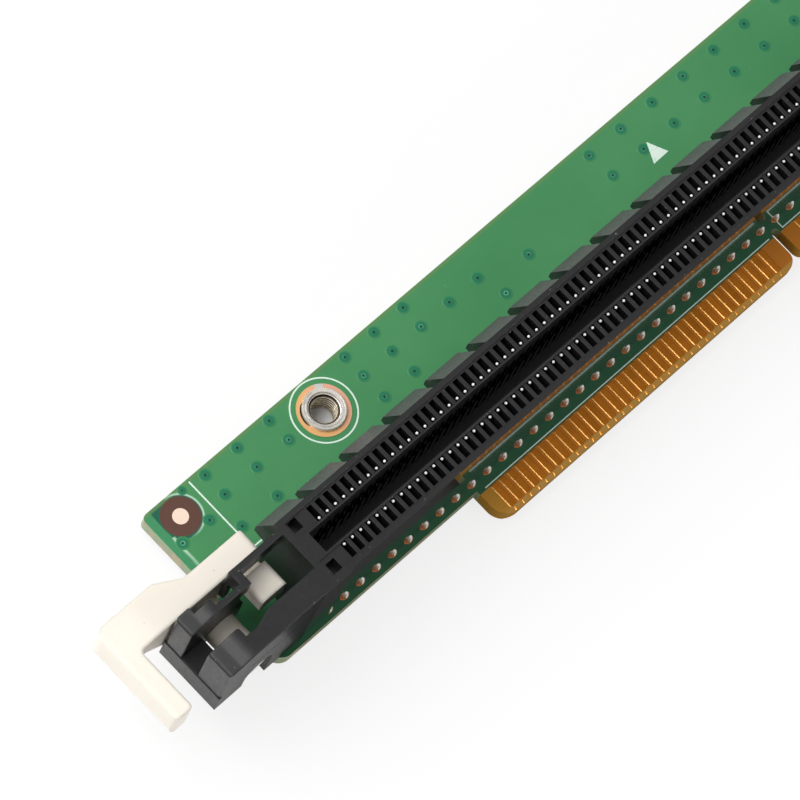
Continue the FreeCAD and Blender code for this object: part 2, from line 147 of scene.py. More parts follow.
SILK_WHITE = rgb(226, 246, 232)
SILK_WORN = rgb(186, 220, 198)
TARGET_BROWN = rgb(84, 54, 42)
TARGET_WEAVE = rgb(98, 62, 50)
GAP_BLACK = rgb(12, 10, 9)
GAP_BROWN = rgb(22, 20, 18)


# ---------------------------------------------------------------- node helpers
class Shader:
    """A material's node tree with short calls for the nodes used here."""

    def __init__(self, name):
        self.material = bpy.data.materials.new(name)
        self.material.use_nodes = True
        self.nodes = self.material.node_tree.nodes
        self.links = self.material.node_tree.links
        self.surface = self.nodes["Principled BSDF"]
        self.coordinates = self.nodes.new("ShaderNodeTexCoord").outputs["Object"]

    def put(self, value, socket):
        """Link an output to a socket, or set the socket to a constant."""
        if isinstance(value, bpy.types.NodeSocket):
            self.links.new(value, socket)
        else:
            socket.default_value = value

    def set(self, **inputs):
        """Set or link the shader's own inputs."""
        for name, value in inputs.items():
            self.put(value, self.surface.inputs[name.replace("_", " ")])

    def math(self, operation, first, second=0.0):
        node = self.nodes.new("ShaderNodeMath")
        node.operation = operation
        self.put(first, node.inputs[0])
        self.put(second, node.inputs[1])
        return node.outputs[0]

    def noise(self, scale, detail=3.0, roughness=0.55, vector=None):
        node = self.nodes.new("ShaderNodeTexNoise")
        self.put(self.coordinates if vector is None else vector, node.inputs["Vector"])
        node.inputs["Scale"].default_value = scale
        node.inputs["Detail"].default_value = detail
        node.inputs["Roughness"].default_value = roughness
        return node.outputs["Fac"]

    def stretch(self, x, y, z):
        """Object coordinates scaled by three factors."""
        node = self.nodes.new("ShaderNodeMapping")
        self.put(self.coordinates, node.inputs["Vector"])
        node.inputs["Scale"].default_value = (x, y, z)
        return node.outputs["Vector"]

    def remap(self, value, low, high, out_low=0.0, out_high=1.0):
        node = self.nodes.new("ShaderNodeMapRange")
        self.put(value, node.inputs["Value"])
        for socket, number in zip(list(node.inputs)[1:5], (low, high, out_low, out_high)):
            socket.default_value = number
        return node.outputs["Result"]

    def mix(self, factor, first, second):
        node = self.nodes.new("ShaderNodeMix")
        node.data_type = "RGBA"
        self.put(factor, node.inputs["Factor"])
        colours = [s for s in node.inputs if s.type == "RGBA"]
        self.put(first, colours[0])
        self.put(second, colours[1])
        return [s for s in node.outputs if s.type == "RGBA"][0]

    def bump(self, height, strength, distance, normal=None):
        node = self.nodes.new("ShaderNodeBump")
        self.put(height, node.inputs["Height"])
        node.inputs["Strength"].default_value = strength
        node.inputs["Distance"].default_value = distance
        if normal is not None:
            self.put(normal, node.inputs["Normal"])
        return node.outputs["Normal"]

    def soft_edge(self, radius):
        """The normal of a slightly rounded edge."""
        node = self.nodes.new("ShaderNodeBevel")
        node.inputs["Radius"].default_value = radius
        return node.outputs["Normal"]

    def position(self):
        """The x, y and z outputs of the object coordinates."""
        node = self.nodes.new("ShaderNodeSeparateXYZ")
        self.put(self.coordinates, node.inputs[0])
        return node.outputs

    def distance(self, x, y):
        """How far a point lies, in plan, from a place on the board."""
        flat = self.stretch(1.0, 1.0, 0.0)
        node = self.nodes.new("ShaderNodeVectorMath")
        node.operation = "DISTANCE"
        self.put(flat, node.inputs[0])
        node.inputs[1].default_value = (x, y, 0.0)
        return node.outputs["Value"]

    def facing(self, axis):
        """How far the true surface faces along an axis, from -1 to 1."""
        geometry = self.nodes.new("ShaderNodeNewGeometry")
        split = self.nodes.new("ShaderNodeSeparateXYZ")
        self.links.new(geometry.outputs["True Normal"], split.inputs[0])
        return split.outputs[axis]

    def facing_up(self):
        """How far the surface faces up or down, from 0 to 1."""
        geometry = self.nodes.new("ShaderNodeNewGeometry")
        split = self.nodes.new("ShaderNodeSeparateXYZ")
        self.links.new(geometry.outputs["Normal"], split.inputs[0])
        return self.math("ABSOLUTE", split.outputs[2])

    def attribute(self, name):
        node = self.nodes.new("ShaderNodeAttribute")
        node.attribute_name = name
        return node.outputs["Fac"]


# ---------------------------------------------------------------- materials
def mask_colour(shader):
    """Green solder mask, a little uneven over the copper beneath it."""
    cloud = shader.remap(shader.noise(70.0, 4.0), 0.35, 0.65)
    lighter = shader.mix(cloud, MASK_GREEN, MASK_LIGHT)
    speck = shader.remap(shader.noise(2300.0, 2.0), 0.755, 0.79)
    return shader.mix(speck, lighter, MASK_SPECK)


def mask_with_copper_edge(shader, place):
    """The mask's tints where the copper under it stops, with painted light: a highlight along
    the copper's edge at the rim and round the target, a lighter left band and shade by the near
    wall.
    """
    from_target = shader.distance(TARGET_X, TARGET_Y)
    right_of_target = shader.math("GREATER_THAN", place["X"], TARGET_X)
    below_target = shader.math("LESS_THAN", place["Y"], TARGET_Y)
    pour_side = shader.math("MAXIMUM", right_of_target, below_target)
    outside_arc = shader.math("GREATER_THAN", from_target, POUR_ARC)
    bare = shader.math("SUBTRACT", 1.0, shader.math("MULTIPLY", pour_side, outside_arc))
    near_target = shader.math("LESS_THAN", from_target, 3.2 * MM)
    hollow = shader.math("MULTIPLY", bare, near_target)
    face = shader.mix(hollow, mask_colour(shader), MASK_HOLLOW)
    ragged = shader.math("MULTIPLY", shader.noise(800.0), 0.25 * MM)
    left = shader.math("ADD", place["X"], ragged)
    # painted light: the copper-free margin at the board's left edge is painted lighter, for the
    # light that comes through the laminate from below
    backlit_band = shader.remap(left, POUR_LEFT + 0.05 * MM, POUR_LEFT + 0.2 * MM, 1.0, 0.0)
    face = shader.mix(backlit_band, face, MASK_BAND_BACKLIT)
    top = shader.remap(place["Y"], POUR_TOP - 0.2 * MM, POUR_TOP, 0.0, 0.8)
    face = shader.mix(top, face, MASK_OLIVE)
    # painted highlight: a pale arc round the target on its lit side, and a pale line along the
    # pour's left edge below it
    arc_gap = shader.math("ABSOLUTE", shader.math("SUBTRACT", from_target, POUR_ARC))
    arc = shader.remap(arc_gap, 0.02 * MM, 0.14 * MM, 1.0, 0.0)
    lit_side = shader.remap(place["X"], TARGET_X - 0.6 * MM, TARGET_X + 1.2 * MM)
    arc = shader.math("MULTIPLY", arc, shader.math("MULTIPLY", lit_side, pour_side))
    past_line = shader.math("SUBTRACT", left, POUR_LEFT + 0.18 * MM)
    line_gap = shader.math("ABSOLUTE", past_line)
    line = shader.remap(line_gap, 0.05 * MM, 0.22 * MM, 0.9, 0.0)
    start = TARGET_Y - 1.0 * MM
    line_reach = shader.remap(place["Y"], start - 6.0 * MM, start - 1.5 * MM, 0.0, 0.9)
    line = shader.math("MULTIPLY", line, line_reach)
    line = shader.math("MULTIPLY", line, shader.math("LESS_THAN", place["Y"], start))
    face = shader.mix(shader.math("MAXIMUM", arc, line), face, MASK_RIM_HIGHLIGHT)
    # painted shade: the mask is darker along the strip at the foot of the near wall, which
    # shades it from the key lamp
    wall_shade_strip = shader.math("LESS_THAN", place["Y"], WALL_Y + 0.3 * MM)
    return shader.mix(wall_shade_strip, face, MASK_WALL_SHADE)


def board_material():
    """Green mask on both faces, bare amber laminate on the tongue, duller cut edges."""
    shader = Shader("board")
    place = shader.position()
    on_tongue = shader.math("LESS_THAN", place["Y"], MASK_EDGE)
    weave = shader.noise(1.0, 3.0, vector=shader.stretch(900.0, 5200.0, 900.0))
    amber = shader.mix(weave, LAMINATE_AMBER, LAMINATE_WEAVE)
    beside = shader.math("GREATER_THAN", place["Y"], FINGER_LOW)
    right = shader.math("GREATER_THAN", place["X"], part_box("edge_fingers_front_long")[0].x)
    between = shader.math("MULTIPLY", beside, right)
    amber = shader.mix(between, amber, LAMINATE_BETWEEN)
    face = shader.mix(on_tongue, mask_with_copper_edge(shader, place), amber)
    tan = shader.remap(shader.noise(700.0), 0.42, 0.62)
    edge = shader.mix(tan, LAMINATE_EDGE, LAMINATE_TAN)
    edge = shader.mix(on_tongue, edge, LAMINATE_OLIVE)
    cut_edge = shader.math("LESS_THAN", shader.facing_up(), 0.9)
    shader.set(Base_Color=shader.mix(cut_edge, face, edge))
    shader.set(Roughness=shader.remap(shader.noise(500.0), 0.3, 0.7, 0.28, 0.38))
    shader.set(Normal=shader.bump(shader.noise(1400.0, 4.0), 0.10, 0.02 * MM))
    gloss = shader.math("SUBTRACT", 0.4, shader.math("MULTIPLY", on_tongue, 0.32))
    shader.set(Specular_IOR_Level=gloss)
    return shader.material


def via_material():
    """Mask over a via: teal round the hole, a painted highlight as a pale crescent on the lip,
    and painted shade as a dark centre in the hole.
    """
    shader = Shader("via")
    depth = shader.attribute("ring")
    halo = shader.mix(shader.remap(depth, 0.0, 1.0, 0.0, 0.85), mask_colour(shader), VIA_TEAL)
    lip = shader.remap(depth, 1.5, 2.0)
    lit_part = shader.remap(shader.noise(420.0), 0.50, 0.66, 0.0, 0.6)
    # painted highlight on part of the lip, then painted shade darkening the hole in the centre
    crescent = shader.math("MULTIPLY", lip, lit_part)
    shade = shader.mix(crescent, halo, VIA_LIP_HIGHLIGHT)
    centre = shader.mix(shader.remap(depth, 2.3, 2.8), shade, VIA_HOLE_SHADE)
    shader.set(Base_Color=centre, Roughness=0.3, Specular_IOR_Level=0.4)
    return shader.material


def housing_material():
    """Black moulded plastic with a faint grain, polished on the slot's near wall."""
    shader = Shader("black_moulding")
    grain = shader.noise(2600.0, 3.0)
    dust = shader.remap(shader.noise(5200.0, 1.0), 0.775, 0.80)
    cloud = shader.remap(shader.noise(240.0), 0.3, 0.7)
    shade = shader.mix(cloud, BLACK_PLASTIC, BLACK_CLOUD)
    shader.set(Base_Color=shader.mix(dust, shade, BLACK_DUST))
    place = shader.position()
    near_wall = shader.math("LESS_THAN", shader.facing("Y"), -0.95)
    on_slot = shader.math("GREATER_THAN", place["X"], FRAME_END)
    polished = shader.math("MULTIPLY", near_wall, on_slot)
    matt = shader.remap(grain, 0.3, 0.7, 0.30, 0.42)
    shader.set(Roughness=shader.math("SUBTRACT", matt, shader.math("MULTIPLY", polished, 0.26)))
    shader.set(Coat_Weight=polished, Coat_Roughness=0.05, Coat_IOR=1.8)
    rolled = shader.soft_edge(0.28 * MM)
    crisp = shader.soft_edge(0.08 * MM)
    shader.set(Normal=shader.bump(grain, 0.04, 0.01 * MM, shader.mix(on_slot, rolled, crisp)))
    shader.set(IOR=1.55)
    return shader.material


def lever_material():
    """Off-white moulded plastic, slightly translucent."""
    shader = Shader("white_moulding")
    tint = shader.remap(shader.noise(160.0), 0.3, 0.7)
    speck = shader.remap(shader.noise(1900.0, 1.0), 0.775, 0.80)
    body = shader.mix(tint, WHITE_PLASTIC, WHITE_TINT)
    shader.set(Base_Color=shader.mix(speck, body, WHITE_SPECK))
    shader.set(Roughness=shader.remap(shader.noise(2000.0), 0.3, 0.7, 0.40, 0.50))
    rounded = shader.soft_edge(0.5 * MM)
    shader.set(Normal=shader.bump(shader.noise(2600.0), 0.06, 0.02 * MM, rounded))
    shader.set(Subsurface_Weight=0.08, Subsurface_Scale=0.6 * MM)
    return shader.material


def metal_surface(name, colour, roughness, scratch=(900.0, 900.0, 900.0)):
    """A plated metal's shader, with its tarnished colour and its scratches for the caller."""
    shader = Shader(name)
    lines = shader.noise(1.0, 2.0, vector=shader.stretch(*scratch))
    shader.set(Roughness=shader.remap(lines, 0.3, 0.7, roughness * 0.75, roughness * 1.3))
    tarnish = shader.remap(shader.noise(420.0, 3.0), 0.35, 0.7)
    darker = tuple(channel * 0.72 for channel in colour[:3]) + (1.0,)
    return shader, shader.mix(tarnish, colour, darker), lines


def scratched(shader, lines):
    """The normal of a scratched metal with slightly rounded edges."""
    return shader.bump(lines, 0.10, 0.01 * MM, shader.soft_edge(0.03 * MM))


def metal_material(name, colour, roughness):
    """A plated metal of one colour, a little tarnished."""
    shader, tone, lines = metal_surface(name, colour, roughness)
    shader.set(Base_Color=tone, Metallic=1.0, Normal=scratched(shader, lines))
    return shader.material


def finger_material():
    """Hard gold, brown on top, with a painted highlight on the sloped left edge and the stub's
    end.
    """
    shader, tone, _ = metal_surface("finger_gold", GOLD_FINGER, 0.26, (300.0, 5000.0, 300.0))
    # painted highlight: the faces that slope to the left and the stub's end are painted bright
    left_slope = shader.math("LESS_THAN", shader.facing("X"), -0.2)
    stub_end = shader.math("LESS_THAN", shader.position()["Y"], FINGER_LOW - STUB_LENGTH * 0.8)
    bright = shader.math("MAXIMUM", left_slope, stub_end)
    shader.set(Base_Color=shader.mix(bright, tone, GOLD_EDGE_HIGHLIGHT), Metallic=1.0)
    worn = shader.noise(1.0, 3.0, vector=shader.stretch(900.0, 2600.0, 300.0))
    shader.set(Normal=shader.bump(worn, 0.03, 0.01 * MM))
    return shader.material


def pad_material():
    """The copper ring: orange on the left, with painted shading that turns it pinker on the
    right, and a smear of tin.
    """
    shader = Shader("copper_ring")
    place = shader.position()
    # painted shading: the ring turns pinker towards the right, where the light falls on it at
    # another angle
    side = shader.remap(place["X"], INSERT_X - 1.0 * MM, INSERT_X + 1.6 * MM)
    copper = shader.mix(side, COPPER, COPPER_PINK_SHADING)
    ragged = shader.math("MULTIPLY", shader.noise(1500.0), 0.7 * MM)
    from_smear = shader.distance(INSERT_X + 1.25 * MM, INSERT_Y + 2.0 * MM)
    reach = shader.math("ADD", from_smear, ragged)
    smear = shader.remap(reach, 0.65 * MM, 0.85 * MM, 1.0, 0.0)
    shader.set(Base_Color=shader.mix(smear, copper, TIN_SMEAR))
    shader.set(Metallic=0.3, Roughness=0.5)
    shader.set(Normal=shader.bump(shader.noise(1900.0, 3.0), 0.15, 0.02 * MM))
    return shader.material


def joint_material():
    """Solder over copper: brown round the foot, and a painted highlight as a white streak up to
    the tip.
    """
    shader, tone, lines = metal_surface("front_solder", TIN, 0.22)
    ragged = shader.math("MULTIPLY", shader.noise(1800.0), 0.2 * MM)
    height = shader.math("ADD", shader.position()["Z"], ragged)
    rise = shader.remap(height, 0.35 * MM, 0.90 * MM, 0.0, 0.8)
    # painted highlight: a white streak on the marked points
    streak = shader.remap(shader.attribute("streak"), 0.2, 0.6)
    body = shader.mix(rise, JOINT_COPPER, tone)
    shader.set(Base_Color=shader.mix(streak, body, STREAK_HIGHLIGHT))
    shader.set(Metallic=shader.math("SUBTRACT", 0.35, shader.math("MULTIPLY", streak, 0.3)))
    shader.set(Normal=scratched(shader, lines))
    return shader.material


def insert_material():
    """Nickel plate: bright on the flange, pale crests down the thread, and painted shade that
    makes its roots brown.
    """
    shader, tone, _ = metal_surface("insert_metal", NICKEL, 0.24, (2500.0, 2500.0, 9000.0))
    radius = shader.distance(INSERT_X, INSERT_Y)
    thread = shader.remap(radius, THREAD_CREST + 0.02 * MM, THREAD_CREST + 0.10 * MM)
    # painted shade: the thread's roots in the bore are dark brown
    bore = shader.mix(thread, CREST_PALE, ROOT_SHADE)
    in_bore = shader.math("LESS_THAN", radius, THREAD_ROOT + 0.02 * MM)
    shader.set(Base_Color=shader.mix(in_bore, tone, bore))
    shader.set(Metallic=0.55, Normal=shader.soft_edge(0.02 * MM))
    return shader.material


def tip_material():
    """A painted highlight: bright white on the ends of the contact springs."""
    shader = Shader("tip_highlight")
    tone = shader.mix(shader.noise(3000.0), TIP_WHITE, TIP_WARM)
    shader.set(Base_Color=tone, Roughness=0.15)
    return shader.material


def dot_material():
    """The alignment target: tinned copper with a warm, even, matt finish."""
    shader = Shader("tinned_dot")
    tone = shader.mix(shader.noise(1200.0), DOT_LIGHT, DOT_DARK)
    shader.set(Base_Color=tone, Metallic=0.1, Roughness=0.5)
    return shader.material


def print_material():
    """White printed ink, thin enough to vary a little."""
    shader = Shader("white_print")
    worn = shader.remap(shader.noise(2400.0), 0.55, 0.8)
    shader.set(Base_Color=shader.mix(worn, SILK_WHITE, SILK_WORN), Roughness=0.55)
    return shader.material


def bare_laminate_material():
    """Bare dark laminate inside the ring round the alignment target."""
    shader = Shader("bare_laminate")
    weave = shader.noise(1.0, 3.0, vector=shader.stretch(2600.0, 5200.0, 900.0))
    shader.set(Base_Color=shader.mix(weave, TARGET_BROWN, TARGET_WEAVE), Roughness=0.5)
    return shader.material


def shadow_material():
    """The unlit inside of a narrow gap or moulded line."""
    shader = Shader("dark_line")
    tone = shader.mix(shader.noise(900.0), GAP_BLACK, GAP_BROWN)
    shader.set(Base_Color=tone, Roughness=0.7, Specular_IOR_Level=0.2)
    return shader.material


BOARD = board_material()
VIA = via_material()
BLACK = housing_material()
WHITE = lever_material()
PRINT = print_material()
BARE = bare_laminate_material()
DARK = shadow_material()
FINGER = finger_material()
RING = pad_material()
FRONT_SOLDER = joint_material()
CONTACT = metal_material("contact_gold", GOLD_CONTACT, 0.25)
SOLDER = metal_material("solder", TIN, 0.16)
STEEL = insert_material()
TIP_HIGHLIGHT = tip_material()
TINNED = dot_material()


# ---------------------------------------------------------------- mesh helpers
def piece(name, mesh, material, body, replaced=()):
    """Link a finished bmesh as one piece that rides on a body."""
    data = bpy.data.meshes.new(name)
    bmesh.ops.recalc_face_normals(mesh, faces=mesh.faces)
    mesh.to_mesh(data)
    mesh.free()
    data.materials.append(material)
    thing = bpy.data.objects.new(name, data)
    bpy.context.scene.collection.objects.link(thing)
    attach(thing, body)
    if replaced:
        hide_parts(*replaced)


def add_between(mesh, lower, upper):
    """A closed form between two loops of as many points, each point (x, y, z)."""
    bottom = [mesh.verts.new(point) for point in lower]
    top = [mesh.verts.new(point) for point in upper]
    mesh.faces.new(bottom[::-1])
    mesh.faces.new(top)
    count = len(bottom)
    for i in range(count):
        j = (i + 1) % count
        mesh.faces.new((bottom[i], bottom[j], top[j], top[i]))


def add_slab(mesh, outline, low, high):
    """A closed slab with an outline in plan between two heights."""
    add_between(mesh, [(x, y, low) for x, y in outline], [(x, y, high) for x, y in outline])


def add_bar(mesh, x0, x1, y0, y1, low, high):
    """A rectangular slab."""
    add_slab(mesh, [(x0, y0), (x1, y0), (x1, y1), (x0, y1)], low, high)


def add_turned(mesh, centre, profile, segments, closed=False, smooth=True):
    """A turned form about a vertical axis; profile is (radius, z) and may touch the axis."""
    rings = []
    for radius, z in profile:
        if radius == 0:
            rings.append([mesh.verts.new((centre[0], centre[1], z))])
            continue
        rings.append([
            mesh.verts.new((
                centre[0] + radius * math.cos(2 * math.pi * k / segments),
                centre[1] + radius * math.sin(2 * math.pi * k / segments),
                z,
            ))
            for k in range(segments)
        ])
    pairs = list(zip(rings, rings[1:]))
    if closed:
        pairs.append((rings[-1], rings[0]))
    for lower, upper in pairs:
        for k in range(segments):
            j = (k + 1) % segments
            if len(lower) == 1 and len(upper) == 1:
                continue
            if len(lower) == 1:
                face = mesh.faces.new((lower[0], upper[k], upper[j]))
            elif len(upper) == 1:
                face = mesh.faces.new((lower[k], lower[j], upper[0]))
            else:
                face = mesh.faces.new((lower[k], lower[j], upper[j], upper[k]))
            face.smooth = smooth
    return rings


# ---------------------------------------------------------------- edge fingers
FINGER_PITCH = 1.0 * MM
FINGER_WIDTH = 0.73 * MM
FINGER_SLOPE = 0.09 * MM                      # how far the plated edge slopes in
FINGER_CORNER = 0.08 * MM
STUB_WIDTH = 0.22 * MM
BEVEL_SLOPE = 0.35 / 0.5                      # the tongue's bevel, depth over length


def finger_centres(node):
    """The finger centres of one group, from the CAD group's own span."""
    low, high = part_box(node)
    count = round((high.x - low.x - FINGER_WIDTH) / FINGER_PITCH) + 1
    return [low.x + FINGER_WIDTH / 2 + FINGER_PITCH * i for i in range(count)]


def finger_outline(x, inset, z):
    """A finger with clipped lower corners, drawn in at its sides by an inset."""
    half = FINGER_WIDTH / 2 - inset
    low = FINGER_LOW
    return [
        (x - half, FINGER_HIGH, z),
        (x - half, low + FINGER_CORNER, z),
        (x - half + FINGER_CORNER, low, z),
        (x + half - FINGER_CORNER, low, z),
        (x + half, low + FINGER_CORNER, z),
        (x + half, FINGER_HIGH, z),
    ]


def stub_outline(x, half, base, lift):
    """The plating stub below a finger, which runs down the tongue's bevel."""
    drop = math.copysign(STUB_LENGTH * BEVEL_SLOPE, lift)
    end = FINGER_LOW - STUB_LENGTH
    return [
        (x - half, FINGER_LOW + FINGER_SLOPE, base),
        (x - half, end, base - drop),
        (x + half, end, base - drop),
        (x + half, FINGER_LOW + FINGER_SLOPE, base),
    ]


def edge_fingers(node, face, thickness):
    """One group of plated fingers; thickness is negative on the back face."""
    mesh = bmesh.new()
    rise = math.copysign(0.01 * MM, thickness)
    for x in finger_centres(node):
        add_between(mesh, finger_outline(x, 0.0, face - rise),
                    finger_outline(x, FINGER_SLOPE, face + thickness))
        half = STUB_WIDTH / 2
        add_between(mesh, stub_outline(x, half, face - rise, thickness),
                    stub_outline(x, half - 0.06 * MM, face + thickness * 0.7, thickness))
    piece(node + "_plated", mesh, FINGER, "root", [node])


for group in ("long", "short"):
    edge_fingers("edge_fingers_front_" + group, FRONT, FINGER_TOP - FRONT)
    edge_fingers("edge_fingers_back_" + group, BACK, FRONT - FINGER_TOP)


# ---------------------------------------------------------------- solder joints
CONTACT_PITCH = 1.0 * MM
LONG_CONTACTS = 71
SHORT_CONTACTS = 11
KEY_TO_CONTACT = 1.5 * MM
CONTACTS = [-KEY_TO_CONTACT - CONTACT_PITCH * i for i in range(LONG_CONTACTS)][::-1]
CONTACTS += [KEY_TO_CONTACT + CONTACT_PITCH * i for i in range(SHORT_CONTACTS)]
LEAD_ROWS = {
    "near_outer": (-3.25 * MM, CONTACTS[1::2]),
    "near_inner": (-1.25 * MM, CONTACTS[0::2]),
    "far_outer": (3.25 * MM, CONTACTS[0::2]),
    "far_inner": (1.25 * MM, CONTACTS[1::2]),
}
PAD_RADIUS = 0.7 * MM


def back_joints():
    """Concave solder cones round each cut lead end, on a round pad."""
    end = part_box("solder_joints_near_outer")[0].z
    reach = BACK - end
    profile = [
        (PAD_RADIUS, BACK + 0.01 * MM),
        (PAD_RADIUS, BACK - 0.03 * MM),
        (PAD_RADIUS * 0.80, BACK - reach * 0.16),
        (PAD_RADIUS * 0.58, BACK - reach * 0.36),
        (PAD_RADIUS * 0.42, BACK - reach * 0.62),
        (PAD_RADIUS * 0.34, BACK - reach * 0.86),
        (PAD_RADIUS * 0.22, BACK - reach * 0.98),
        (0, end),
    ]
    for row, (y, places) in LEAD_ROWS.items():
        mesh = bmesh.new()
        for x in places:
            add_turned(mesh, (x, y), profile, 14)
        piece("soldered_leads_" + row, mesh, SOLDER, "root", ["solder_joints_" + row])


def front_joints():
    """Fillets at the foot of the near wall, which lean up against it."""
    y, places = LEAD_ROWS["near_outer"]
    places = [CONTACTS[0] - 1.0 * MM] + places
    lean = [
        # radius, height, shift towards the viewer, all in mm
        (0.660, -0.005, 0.00),
        (0.600, 0.040, 0.02),
        (0.490, 0.130, 0.09),
        (0.400, 0.280, 0.15),
        (0.310, 0.480, 0.21),
        (0.220, 0.720, 0.27),
        (0.140, 0.920, 0.31),
        (0.070, 1.040, 0.33),
        (0.000, 1.080, 0.34),
    ]
    towards_viewer = (15, 16, 17, 18)         # of the 20 points round a fillet
    mesh = bmesh.new()
    layer = mesh.verts.layers.float.new("streak")
    for x in places:
        rings = add_turned(mesh, (x, y), [(r * MM, z * MM) for r, z, _ in lean], 20)
        for step, (verts, (_, _, shift)) in enumerate(zip(rings, lean)):
            for k, vert in enumerate(verts):
                vert.co.y -= shift * MM
                # painted highlight: the tip and the points facing the viewer are marked for the
                # white streak
                tinned = step >= 6 or (step >= 2 and k in towards_viewer)
                vert[layer] = 1.0 if tinned else 0.0
    piece("solder_fillets_front", mesh, FRONT_SOLDER, "root", ["solder_joints_front"])


def contact_tip_highlights():
    """Beads at the ends of the contact springs, one in each cell, painted white for their
    highlight.
    """
    tip_y = 1.55 * MM
    tip_z = HOUSING_HIGH.z - 0.45 * MM
    radius = 0.14 * MM
    off_centre = 0.05 * MM
    mesh = bmesh.new()
    for x in CONTACTS:
        for side in (-1, 1):
            place = Matrix.Translation((x + off_centre, side * tip_y, tip_z))
            bmesh.ops.create_icosphere(mesh, subdivisions=2, radius=radius, matrix=place)
    for face in mesh.faces:
        face.smooth = True
    piece("contact_tip_highlights", mesh, TIP_HIGHLIGHT, "root")


back_joints()
front_joints()
contact_tip_highlights()


# ---------------------------------------------------------------- threaded insert
def threaded_insert():
    """The turned insert: a stepped flange, a chamfered mouth and its thread."""
    mesh = bmesh.new()
    outer = (INSERT_HIGH.x - INSERT_LOW.x) / 2
    barrel = outer - 0.3 * MM
    mouth = 1.58 * MM
    top = INSERT_HIGH.z
    bottom = INSERT_LOW.z
    groove = 0.07 * MM
    profile = [
        (THREAD_ROOT, bottom),
        (barrel, bottom),
        (barrel, FINGER_TOP),
        (outer, FINGER_TOP),
        (outer, top - 2 * groove),
        (outer - groove, top - groove / 2),
        (1.86 * MM, top - groove / 2),
        (1.83 * MM, top - groove * 1.5),
        (1.75 * MM, top - groove * 1.5),
        (1.71 * MM, top),
        (mouth + 0.04 * MM, top),
        (mouth, top - 0.04 * MM),
        (mouth - 0.07 * MM, top - 0.20 * MM),
        (mouth - 0.14 * MM, top - 0.22 * MM),
    ]
    z = top - 0.30 * MM
    while z > bottom + 0.3 * MM:
        profile.append((THREAD_ROOT, z))
        profile.append((THREAD_CREST, z - THREAD_PITCH * 0.45))
        profile.append((THREAD_CREST, z - THREAD_PITCH * 0.55))
        z -= THREAD_PITCH
    add_turned(mesh, (INSERT_X, INSERT_Y), profile, 64, closed=True, smooth=False)
    piece("insert_threaded", mesh, STEEL, "root", ["threaded_insert"])


def insert_gap_shadow():
    """A painted shadow: the dark crescent where the flange sits off the middle of its pad."""
    inner = (INSERT_HIGH.x - INSERT_LOW.x) / 2 + 0.005 * MM
    start, end = math.radians(120), math.radians(188)
    steps = 16
    angles = [start + (end - start) * i / steps for i in range(steps + 1)]
    widest, thinnest = 0.15 * MM, 0.004 * MM
    widths = [widest * math.sin(math.pi * i / steps) ** 0.5 + thinnest for i in range(steps + 1)]
    outline = [(INSERT_X + (inner + w) * math.cos(a), INSERT_Y + (inner + w) * math.sin(a))
               for a, w in zip(angles, widths)]
    outline += [(INSERT_X + inner * math.cos(a), INSERT_Y + inner * math.sin(a))
                for a in reversed(angles)]
    mesh = bmesh.new()
    add_slab(mesh, outline, FINGER_TOP - 0.005 * MM, FINGER_TOP + 0.006 * MM)
    piece("insert_gap_shadow", mesh, DARK, "root")


threaded_insert()
insert_gap_shadow()


# ---------------------------------------------------------------- print and vias
def silk_print():
    """The white lines printed on the front: ring, borders and a small arrow."""
    mesh = bmesh.new()
    low = FRONT - 0.005 * MM
    high = FRONT + SILK_THICKNESS
    line = 0.15 * MM
    ring_radius = 3.085 * MM
    ring = [
        (ring_radius - line / 2, low),
        (ring_radius + line / 2, low),
        (ring_radius + line / 2, high),
        (ring_radius - line / 2, high),
    ]
    add_turned(mesh, (INSERT_X, INSERT_Y), ring, 96, closed=True, smooth=False)
    fingers_low, fingers_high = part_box("edge_fingers_front_long")
    short_low, short_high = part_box("edge_fingers_front_short")
    border = MASK_EDGE + 0.13 * MM
    thin = 0.11 * MM
    past_ends = 0.45 * MM
    left, right = fingers_low.x - past_ends, fingers_high.x + 1.2 * MM
    add_bar(mesh, left, right, border, border + thin, low, high)
    corner = short_low.x - 1.3 * MM
    add_bar(mesh, corner, short_high.x + past_ends, border, border + thin, low, high)
    add_bar(mesh, corner, corner + thin, border + thin, WALL_Y - 0.25 * MM, low, high)
    fence = TARGET_X + 2.79 * MM
    foot, head = 4.2 * MM, BOARD_HIGH.y - 0.3 * MM
    add_bar(mesh, fence - line / 2, fence + line / 2, foot, head, low, high)
    tick = 4.85 * MM
    add_bar(mesh, fence + 0.2 * MM, fence + 1.55 * MM, tick, tick + line, low, high)
    arrow = [(-19.39, 7.54), (-17.44, 7.58), (-18.40, 9.54)]
    add_slab(mesh, [(x * MM, y * MM) for x, y in arrow], low, high)
    piece("printed_lines", mesh, PRINT, "root")


VIA_ROWS = [
    # y, first x, pitch, count, all in mm
    (12.50, -72.1, 3.95, 3),
    (10.08, -72.0, 3.95, 3),
    (6.94, -72.9, 4.36, 2),
    (9.22, -78.0, 3.30, 2),
    (12.80, -74.66, 1.0, 1),
    (12.45, -54.75, 3.70, 3),
    (10.10, -54.70, 3.66, 5),
    (7.42, -54.65, 3.80, 2),
    (7.39, -39.10, 1.0, 1),
    (8.71, -34.80, 1.0, 1),
    (12.00, -23.50, 4.18, 9),
    (9.20, -23.20, 4.10, 9),
]


